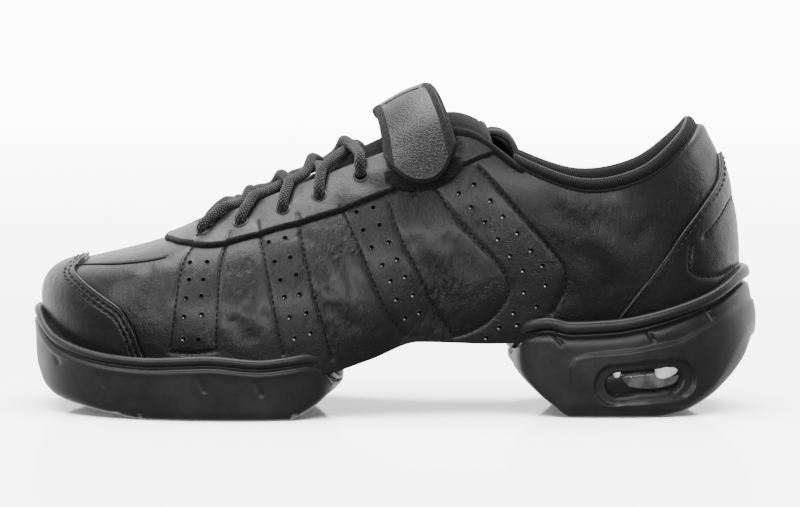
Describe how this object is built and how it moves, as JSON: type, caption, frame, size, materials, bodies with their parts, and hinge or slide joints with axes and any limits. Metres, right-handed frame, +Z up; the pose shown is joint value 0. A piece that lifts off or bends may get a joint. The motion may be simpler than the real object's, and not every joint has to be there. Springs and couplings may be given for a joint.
{
  "type": "dance sneaker",
  "caption": "A black leather dance sneaker with a split rubber sole, a raised heel unit with clear side windows, criss-cross laces over a knit tongue and a padded instep strap.",
  "frame": {"origin": "on the floor, midway between toe and heel tips and between the two sides of the sole", "axes": "+X toward the heel, +Y toward the medial side, +Z up"},
  "size_m": [0.2699, 0.0965, 0.1217],
  "materials": {
    "leather": "semi-gloss full-grain leather, finely creased",
    "strap_leather": "pebbled leather with textile binding",
    "sole_rubber": "matte moulded rubber",
    "clear_window": "clear glossy plastic",
    "knit": "ribbed knit fabric",
    "loop_pile": "short fuzzy loop pile",
    "lace_braid": "round braided cord",
    "insole_fabric": "flat woven lining fabric"
  },
  "bodies": {
    "root": {"upper": "leather", "outsole_forefoot": "sole_rubber", "outsole_heel": "sole_rubber", "window_lateral": "clear_window", "window_medial": "clear_window", "insole": "insole_fabric", "tongue": "knit", "toe_guard": "leather", "heel_counter": "leather", "eyestay": "leather", "collar_lining": "knit", "strap_patch": "loop_pile", "instep_strap": "strap_leather", "laces": "lace_braid", "tongue_loop": "knit"}
  },
  "joints": []
}
